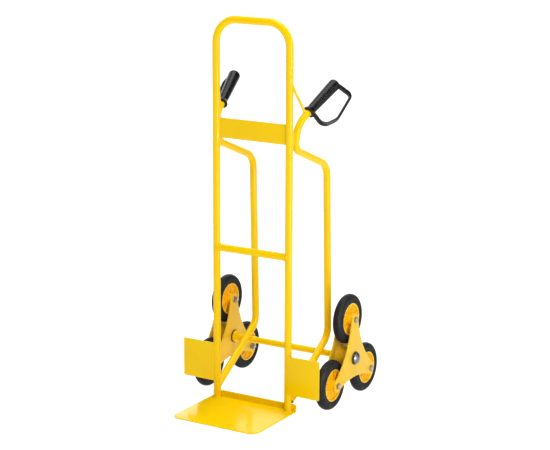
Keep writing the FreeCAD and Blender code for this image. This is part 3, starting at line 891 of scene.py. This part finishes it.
# Where the handle tubes, braces and grips run, on the right-hand side
PANEL_LOW, PANEL_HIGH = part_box("top_panel")
GUARD_LOW, GUARD_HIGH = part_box("side_guard_right")
GRIP_RISE = math.radians(31.6)
GRIP_SPLAY = math.radians(12.2)
GRIP_ALONG = Vector((math.cos(GRIP_RISE) * math.sin(GRIP_SPLAY),
                     math.cos(GRIP_RISE) * math.cos(GRIP_SPLAY),
                     math.sin(GRIP_RISE)))
GRIP_LOW = -5 * MM              # the grip's lower end, below the seat of its hand guard
GUARD_AWAY = Vector((0.787, 0.198, -0.584))        # the hand guard hangs outboard and below its grip
GRIP_OUTWARD = (GUARD_AWAY - GRIP_ALONG * GUARD_AWAY.dot(GRIP_ALONG)).normalized()
GRIP_SQUARE = GRIP_ALONG.cross(GRIP_OUTWARD)
REAR_OUT = 5 * MM
HANDLE_SLOPE = math.radians(33.6)
TOUCH_Z = (0.796, 0.838)        # stretch where a handle tube lies along its upright
TOUCH_OUT = 11 * MM             # how much further outboard the handle tube is there
BRACE_HIGH_Z = 0.985
BRACE_BEFORE_GRIP = 15 * MM
BRACE_R = 4 * MM


def grip_seat():
    """Middle of the right-hand grip's collar, from the lowest ring of its CAD solid."""
    heights = [(v.co.dot(GRIP_ALONG), v.co) for v in frame["nodes"]["grip_right"].data.vertices]
    lowest = min(height for height, _ in heights)
    ring = [co for height, co in heights if height < lowest + 0.05 * MM]
    reach = [[co.dot(axis) for co in ring] for axis in (GRIP_OUTWARD, GRIP_SQUARE)]
    out, square = [(min(values) + max(values)) / 2 for values in reach]
    return GRIP_OUTWARD * out + GRIP_SQUARE * square + GRIP_ALONG * (lowest - GRIP_LOW)


GRIP_SEAT = grip_seat()


def crossbar_beads(bm):
    middle = Vector((0, UPRIGHT_Y, centre("mid_crossbar").z))
    bead_skin(bm, meeting_line(middle, X, TUBE_R * CROSSBAR_FIT, "main_frame_tube"))


def panel_beads(bm):
    half_t = (PANEL_HIGH.y - PANEL_LOW.y) / 2
    x = UPRIGHT_X - math.sqrt(TUBE_R ** 2 - half_t ** 2)
    for y in (UPRIGHT_Y - half_t, UPRIGHT_Y + half_t):
        bead_skin(bm, [Vector((x, y, z)) for z in (PANEL_LOW.z, PANEL_HIGH.z)], PANEL_BEAD_R)


def side_guard_beads(bm):
    """Stitches down the guard's inboard edge, and down its back face against the upright."""
    edge_y = UPRIGHT_Y - math.sqrt(TUBE_R ** 2 - (GUARD_LOW.x - UPRIGHT_X) ** 2)
    back_x = UPRIGHT_X + math.sqrt(TUBE_R ** 2 - (GUARD_HIGH.y - UPRIGHT_Y) ** 2)
    for x, y, stitches in ((GUARD_LOW.x, edge_y, 3), (back_x, GUARD_HIGH.y, 4)):
        spacing = (GUARD_HIGH.z - GUARD_LOW.z) / stitches
        for k in range(stitches):
            middle = GUARD_LOW.z + spacing * (k + 0.5)
            ends = (middle - GUARD_STITCH * spacing, middle + GUARD_STITCH * spacing)
            bead_skin(bm, [Vector((x, y, z)) for z in ends], GUARD_BEAD_R)


def foot_beads(bm):
    """Round the upright's foot on the toe plate, and up both sides of it against the flange."""
    foot = Vector((UPRIGHT_X, UPRIGHT_Y, TOE_T))
    bead_skin(bm, [foot + p.to_3d() for p in arc((0, 0), TUBE_R + 0.4 * MM, 130, 410, 48)])
    flange_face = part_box("toe_plate")[1].y - TOE_T
    for x in (UPRIGHT_X - SEAM_HALF_W, UPRIGHT_X + SEAM_HALF_W):
        bead_skin(bm, [Vector((x, flange_face - BEAD_PROUD, z)) for z in FLANGE_BEAD_Z])


def handle_over_axle():
    """Where a handle tube lies on the axle: along the tube, square to it, and the axle's top."""
    along = Vector((0, math.cos(HANDLE_SLOPE), math.sin(HANDLE_SLOPE)))
    normal = X.cross(along)
    return along, normal, Vector((UPRIGHT_X + REAR_OUT, AXLE_Y, AXLE_Z)) + normal * AXLE_R


def handle_foot_beads(bm):
    along, normal, axle_top = handle_over_axle()
    start = axle_top + normal * TUBE_R - along * 50 * MM
    bead_skin(bm, meeting_line(start, -along, TUBE_R, "main_frame_tube"))


def axle_beads(bm):
    along, normal, axle_top = handle_over_axle()
    saddle = [axle_top + X * p.x + along * p.y + normal * 0.2 * MM
              for p in arc((0, 0), SEAM_HALF_W, 0, 380, 44)]
    bead_skin(bm, saddle, AXLE_BEAD_R)


def handle_touch_beads(bm):
    """Up both sides of the seam between a handle tube and its upright."""
    touch_back = math.sqrt((2 * TUBE_R) ** 2 - TOUCH_OUT ** 2)
    between = Vector((TOUCH_OUT, touch_back, 0)) / 2
    across = between.cross(Z).normalized()
    for face in (-1, 1):
        middle = Vector((UPRIGHT_X, UPRIGHT_Y, 0)) + between + across * face * TOUCH_SEAM_HALF_W
        bead_skin(bm, [middle + Z * z for z in TOUCH_Z], TOUCH_BEAD_R)


def brace_beads(bm):
    top = Vector((UPRIGHT_X, UPRIGHT_Y, BRACE_HIGH_Z))
    foot = GRIP_SEAT - GRIP_ALONG * BRACE_BEFORE_GRIP
    half_way = (top + foot) / 2
    bead_skin(bm, meeting_line(half_way, top - foot, BRACE_R, "main_frame_tube"), BRACE_BEAD_R)
    bead_skin(bm, meeting_line(half_way, foot - top, BRACE_R, "handle_tube_right"), BRACE_BEAD_R)


FRAME_WELDS = {
    "crossbar": crossbar_beads, "panel": panel_beads, "side_guard": side_guard_beads, "foot": foot_beads,
    "handle_foot": handle_foot_beads, "axle": axle_beads, "handle_touch": handle_touch_beads,
    "brace": brace_beads,
}


def frame_welds(side):
    """Beads of the welded frame on one side, modelled on the right and mirrored for the left."""
    for name, lay_beads in FRAME_WELDS.items():
        bm = bmesh.new()
        lay_beads(bm)
        if side == "left":
            bmesh.ops.scale(bm, vec=(-1, 1, 1), verts=bm.verts)
        piece(f"weld_{name}_{side}", finish_mesh(bm, name, 60), "frame", YELLOW)


def barrel_welds(side):
    """A ring of weld at each end of a star's barrel, on the plate's inner face."""
    bm = bmesh.new()
    low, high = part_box(f"star_barrel_{side}")
    for x in (low.x + BEAD_PROUD, high.x - BEAD_PROUD):
        ring = [Vector((x, AXLE_Y + p.x, AXLE_Z + p.y))
                for p in arc((0, 0), BARREL_R + BEAD_PROUD, 0, 366, 120)]
        bead_skin(bm, ring, BARREL_BEAD_R)
    piece(f"weld_barrel_{side}", finish_mesh(bm, "weld_barrel", 60), f"star_{side}", AMBER)


# ---- grips -----------------------------------------------------------------------------------------

GRIP_L = 140 * MM
GRIP_FLARE_R = 18.5 * MM
GRIP_NECK_R = 14.0 * MM
GRIP_HEAD_R = 18.3 * MM
GRIP_BENDS = [0, 1.6 * MM, 2.2 * MM, 9 * MM, 11 * MM, 0]
GRIP_SEGMENTS = 96
GUARD_BAND_T = 8.5 * MM
GUARD_BAND_W = 19 * MM
# corners of the guard's loop, in mm: off the grip, leaning back, up the grip
GUARD_LOOP = [(0, 0, 130.5), (57.7, 2.6, 134.9), (73.4, 10, 45), (55.6, 17.4, 2), (0, 0, 7.5)]
GUARD_LOOP_BENDS = [0, 15 * MM, 32 * MM, 26 * MM, 0]
GRIP_VOXEL = 0.9 * MM
GRIP_SKIN = 1.5 * MM                # points this near to the sleeve's profile belong to the sleeve
PAD_ZONE = (20 * MM, 112 * MM)      # stretch of the sleeve with raised pads
PAD_ROUND = 11                      # pads round the sleeve
PAD_PITCH = 9 * MM
PAD_RISE = 0.35 * MM
PAD_FADE = 6 * MM                   # stretch over which the pads fade at both ends


def sleeve_profile():
    """The grip's outline, as (distance along it, radius): a flared collar, a neck and a thick head."""
    top = GRIP_LOW + GRIP_L
    corners = [(GRIP_LOW, 0.5 * MM), (GRIP_LOW, GRIP_FLARE_R), (GRIP_LOW + 4 * MM, GRIP_FLARE_R),
               (GRIP_LOW + 14 * MM, GRIP_NECK_R), (top, GRIP_HEAD_R), (top, 0.5 * MM)]
    return rounded(corners, GRIP_BENDS)


def guard_band():
    """Rings of the hand guard: an oval band carried round its loop, in (outward, square, along)."""
    loop = [Vector(corner) * MM for corner in GUARD_LOOP]
    route = subdivided(rounded(loop, GUARD_LOOP_BENDS), 3 * MM)
    half_t = GUARD_BAND_T / 2
    flat = GUARD_BAND_W / 2 - half_t
    section = arc((flat, 0), half_t, -90, 90, 10) + arc((-flat, 0), half_t, 90, 270, 10)
    rings = []
    for i, point in enumerate(route):
        run = (route[min(i + 1, len(route) - 1)] - route[max(i - 1, 0)]).normalized()
        outer = run.cross(Y)
        rings.append([point + Y * p.x + outer * p.y for p in section])
    return rings


def pads(point):
    """How far a point of the sleeve stands out, from 0 to 1: staggered oval pads in their zone."""
    low, high = PAD_ZONE
    angle = math.atan2(point.y, point.x)
    along = point.z
    wave = math.cos(PAD_ROUND * angle) * math.cos(2 * math.pi * along / PAD_PITCH)
    fade = smoothstep(low, low + PAD_FADE, along) * (1 - smoothstep(high - PAD_FADE, high, along))
    return smoothstep(0.05, 0.55, wave) * fade


def fused_grip(profile):
    """Sleeve and guard fused into one skin, their joints softened."""
    bm = bmesh.new()
    rings = [[Vector((p.y * math.cos(a), p.y * math.sin(a), p.x)) for a in full_turn(GRIP_SEGMENTS)]
             for p in profile]
    skin(bm, rings)
    skin(bm, guard_band())
    rough = bpy.data.objects.new("grip_rough", finish_mesh(bm, "grip_rough"))
    bpy.context.scene.collection.objects.link(rough)
    fuse = rough.modifiers.new("fuse", "REMESH")
    fuse.mode = "VOXEL"
    fuse.voxel_size = GRIP_VOXEL
    soften = rough.modifiers.new("soften", "SMOOTH")
    soften.factor = 0.5
    soften.iterations = 7
    evaluated = rough.evaluated_get(bpy.context.evaluated_depsgraph_get())
    mesh = bpy.data.meshes.new_from_object(evaluated)
    bpy.data.objects.remove(rough)
    return mesh


def grip_mesh():
    """The fused grip with the pads raised on its sleeve. Its edge attribute is 1 on the pads."""
    profile = sleeve_profile()
    mesh = fused_grip(profile)
    raised = mesh.attributes.new("edge", "FLOAT", "POINT")
    radii = {round(p.x / MM): p.y for p in subdivided(profile, 0.4 * MM)}
    normals = [vert.normal.copy() for vert in mesh.vertices]
    for vert, normal, value in zip(mesh.vertices, normals, raised.data):
        sleeve_r = radii.get(round(vert.co.z / MM), 0)
        if abs(math.hypot(vert.co.x, vert.co.y) - sleeve_r) < GRIP_SKIN:
            value.value = pads(vert.co)
            if PAD_ZONE[0] < vert.co.z < PAD_ZONE[1]:
                vert.co += normal * (PAD_RISE * (value.value - 0.5))
    mesh.shade_smooth()
    mesh.materials.clear()
    return mesh


def grips():
    mesh = grip_mesh()
    turn = Matrix((GRIP_OUTWARD, GRIP_SQUARE, GRIP_ALONG)).transposed().to_4x4()
    mesh.transform(Matrix.Translation(GRIP_SEAT) @ turn)
    for side, sign in SIDES.items():
        fitted = mesh.copy()
        if sign < 0:
            fitted.transform(Matrix.Scale(-1, 4, X))
            fitted.flip_normals()
        piece(f"moulded_grip_{side}", fitted, "frame", GRIP, [f"grip_{side}"])


# ---- the object --------------------------------------------------------------------------------------

toe_plate()
upright_sheet("panel_sheet", "top_panel", [0, 0, 0, 0])
for side in SIDES:
    side_guard(side)
    star_plates(side)
    fasteners(side)
    hub_bushes(side)
    axle_collar(side)
    hub_cap(side)
    frame_welds(side)
    barrel_welds(side)
wheels()
grips()


# ---- stage, lights and camera ------------------------------------------------------------------------

FLOOR_GLOW = 0.95             # lifts the floor to the white of a lit studio sweep
FLOOR_R = 40
FLOOR_BELOW = 0.4 * MM
WHITE = (1, 1, 1, 1)


def floor():
    """A pale round floor, just under the trolley's feet."""
    bm = bmesh.new()
    bmesh.ops.create_circle(bm, cap_ends=True, segments=96, radius=FLOOR_R)
    mesh = bpy.data.meshes.new("floor")
    bm.to_mesh(mesh)
    bm.free()
    thing = bpy.data.objects.new("floor", mesh)
    thing.location = (0, 0, CAD_LOW.z - FLOOR_BELOW)
    bpy.context.scene.collection.objects.link(thing)
    pale = Surface("floor", (0.30, 0.30, 0.30), 0.9, specular=0.1)
    pale.tint(pale.ramp(pale.noise(1.5, 2.0), 0.4, 0.7), (0.29, 0.29, 0.288))
    pale.shader.inputs["Emission Color"].default_value = WHITE
    pale.shader.inputs["Emission Strength"].default_value = FLOOR_GLOW
    mesh.materials.append(pale.material)


def lamp(name, place_at, target, width, height, power, reflected=True, lights=True):
    """A soft panel aimed at a point, which may light without being reflected, or only be reflected."""
    light = bpy.data.lights.new(name, "AREA")
    light.shape = "RECTANGLE"
    light.size = width
    light.size_y = height
    light.energy = power
    thing = bpy.data.objects.new(name, light)
    thing.location = place_at
    thing.rotation_euler = (Vector(target) - Vector(place_at)).to_track_quat("-Z", "Y").to_euler()
    thing.visible_glossy = reflected
    thing.visible_diffuse = lights
    thing.visible_camera = False
    bpy.context.scene.collection.objects.link(thing)


def studio():
    """Even white light from a key, fills, a ceiling and a back wall, and cards that gloss reflects."""
    world = bpy.data.worlds.new("studio")
    bpy.context.scene.world = world
    world.use_nodes = True
    background = world.node_tree.nodes["Background"]
    background.inputs["Color"].default_value = WHITE
    background.inputs["Strength"].default_value = 0.10
    heart = (0, 0, 0.55)
    waist = (0, -0.08, 0.75)
    lamp("key", (3.4, -3.2, 2.4), heart, 2.5, 2.5, 122, reflected=False)
    lamp("left_fill", (-4.0, -2.2, 1.2), heart, 2.5, 2.5, 14, reflected=False)
    lamp("overhead", (0.2, 0.3, 8.0), heart, 6.0, 6.0, 620)
    lamp("right_card", (3.4, 0.9, 1.0), heart, 2.4, 2.8, 20)
    lamp("right_strip", (1.55, -0.50, 0.75), waist, 0.4, 1.5, 55, lights=False)
    lamp("back_wall", (-3.2, 4.4, 2.6), heart, 9.0, 5.0, 150, reflected=False)
    lamp("back_card", (-3.0, 4.1, 2.6), heart, 9.0, 5.0, 300, lights=False)


CAMERA_TARGET = Vector((0.0504, -0.0335, 0.5489))
CAMERA_DISTANCE = 5.07
CAMERA_AZIMUTH = math.radians(31.02)
CAMERA_ELEVATION = math.radians(13.41)
CAMERA_ROLL = math.radians(0.25)
CAMERA_LENS = 114.0
CAMERA_SENSOR = 36.0
CAMERA_REACH = 200.0


def camera():
    flat = math.cos(CAMERA_ELEVATION)
    back = Vector((math.sin(CAMERA_AZIMUTH) * flat,
                   -math.cos(CAMERA_AZIMUTH) * flat,
                   math.sin(CAMERA_ELEVATION)))
    data = bpy.data.cameras.new("camera")
    data.lens = CAMERA_LENS
    data.sensor_width = CAMERA_SENSOR
    data.clip_end = CAMERA_REACH
    thing = bpy.data.objects.new("camera", data)
    turn = back.to_track_quat("Z", "Y").to_matrix() @ Matrix.Rotation(CAMERA_ROLL, 3, "Z")
    thing.matrix_world = Matrix.Translation(CAMERA_TARGET + back * CAMERA_DISTANCE) @ turn.to_4x4()
    bpy.context.scene.collection.objects.link(thing)
    bpy.context.scene.camera = thing


floor()
studio()
camera()
bpy.context.scene.view_settings.view_transform = "Standard"
